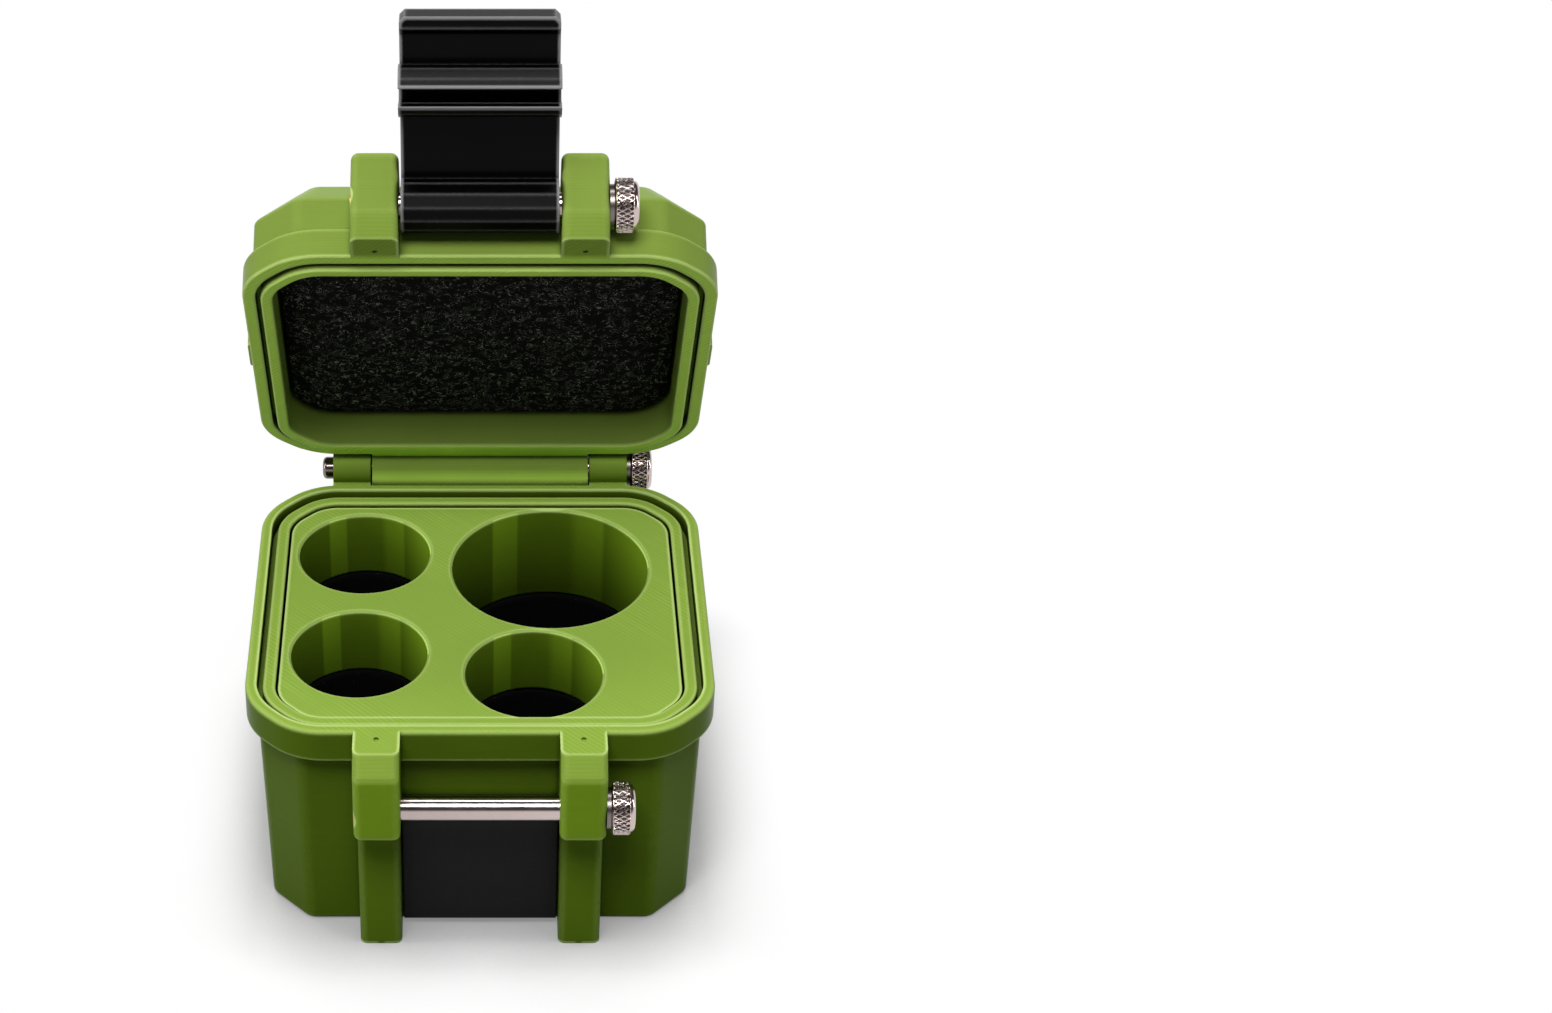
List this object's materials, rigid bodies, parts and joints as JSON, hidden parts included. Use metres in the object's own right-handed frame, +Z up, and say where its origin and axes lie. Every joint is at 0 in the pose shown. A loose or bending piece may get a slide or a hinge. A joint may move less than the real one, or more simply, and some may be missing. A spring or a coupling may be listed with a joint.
{
  "type": "vial case",
  "caption": "Hinged rugged case for glass vials, with a green chamfered shell, pocketed tray, foam-lined lid and black snap latch, shown open.",
  "frame": {"origin": "centre of the base's underside, in plan the centre of the base's rim", "axes": "+X to the user's right, +Y to the hinge at the back, +Z up; the front with its latch faces -Y"},
  "size_m": [0.058, 0.0707, 0.1087],
  "materials": {
    "green_body": "satin olive green printed plastic",
    "black_latch": "semi-gloss black plastic",
    "black_panel": "matte black plastic",
    "black_foam": "black speckled foam",
    "brass": "knurled brass inserts",
    "steel": "polished stainless steel with knurled heads"
  },
  "bodies": {
    "base": {"base_shell": "green_body", "vial_tray": "green_body", "foam_block": "black_foam", "pocket_pad_large": "black_foam", "pocket_pad_rear_left": "black_foam", "pocket_pad_front_left": "black_foam", "pocket_pad_front_right": "black_foam", "front_panel": "black_panel", "hinge_screw": "steel", "hinge_washer": "steel", "hinge_insert": "brass", "catch_screw": "steel", "catch_washer": "steel", "catch_insert": "brass"},
    "lid": {"lid_shell": "green_body", "lid_foam": "black_foam", "latch_screw": "steel", "latch_washer": "steel", "latch_insert": "brass"},
    "latch": {"latch": "black_latch"}
  },
  "joints": [
    {"name": "lid_hinge", "type": "hinge", "parent": "base", "child": "lid", "pos_m": [0, 0.02936, 0.03265], "axis": [-1, 0, 0], "range_deg": [-61, 59]},
    {"name": "latch_hinge", "type": "hinge", "parent": "lid", "child": "latch", "pos_m": [0, 0.00536, 0.08637], "axis": [-1, 0, 0], "range_deg": [-127, 43]}
  ]
}
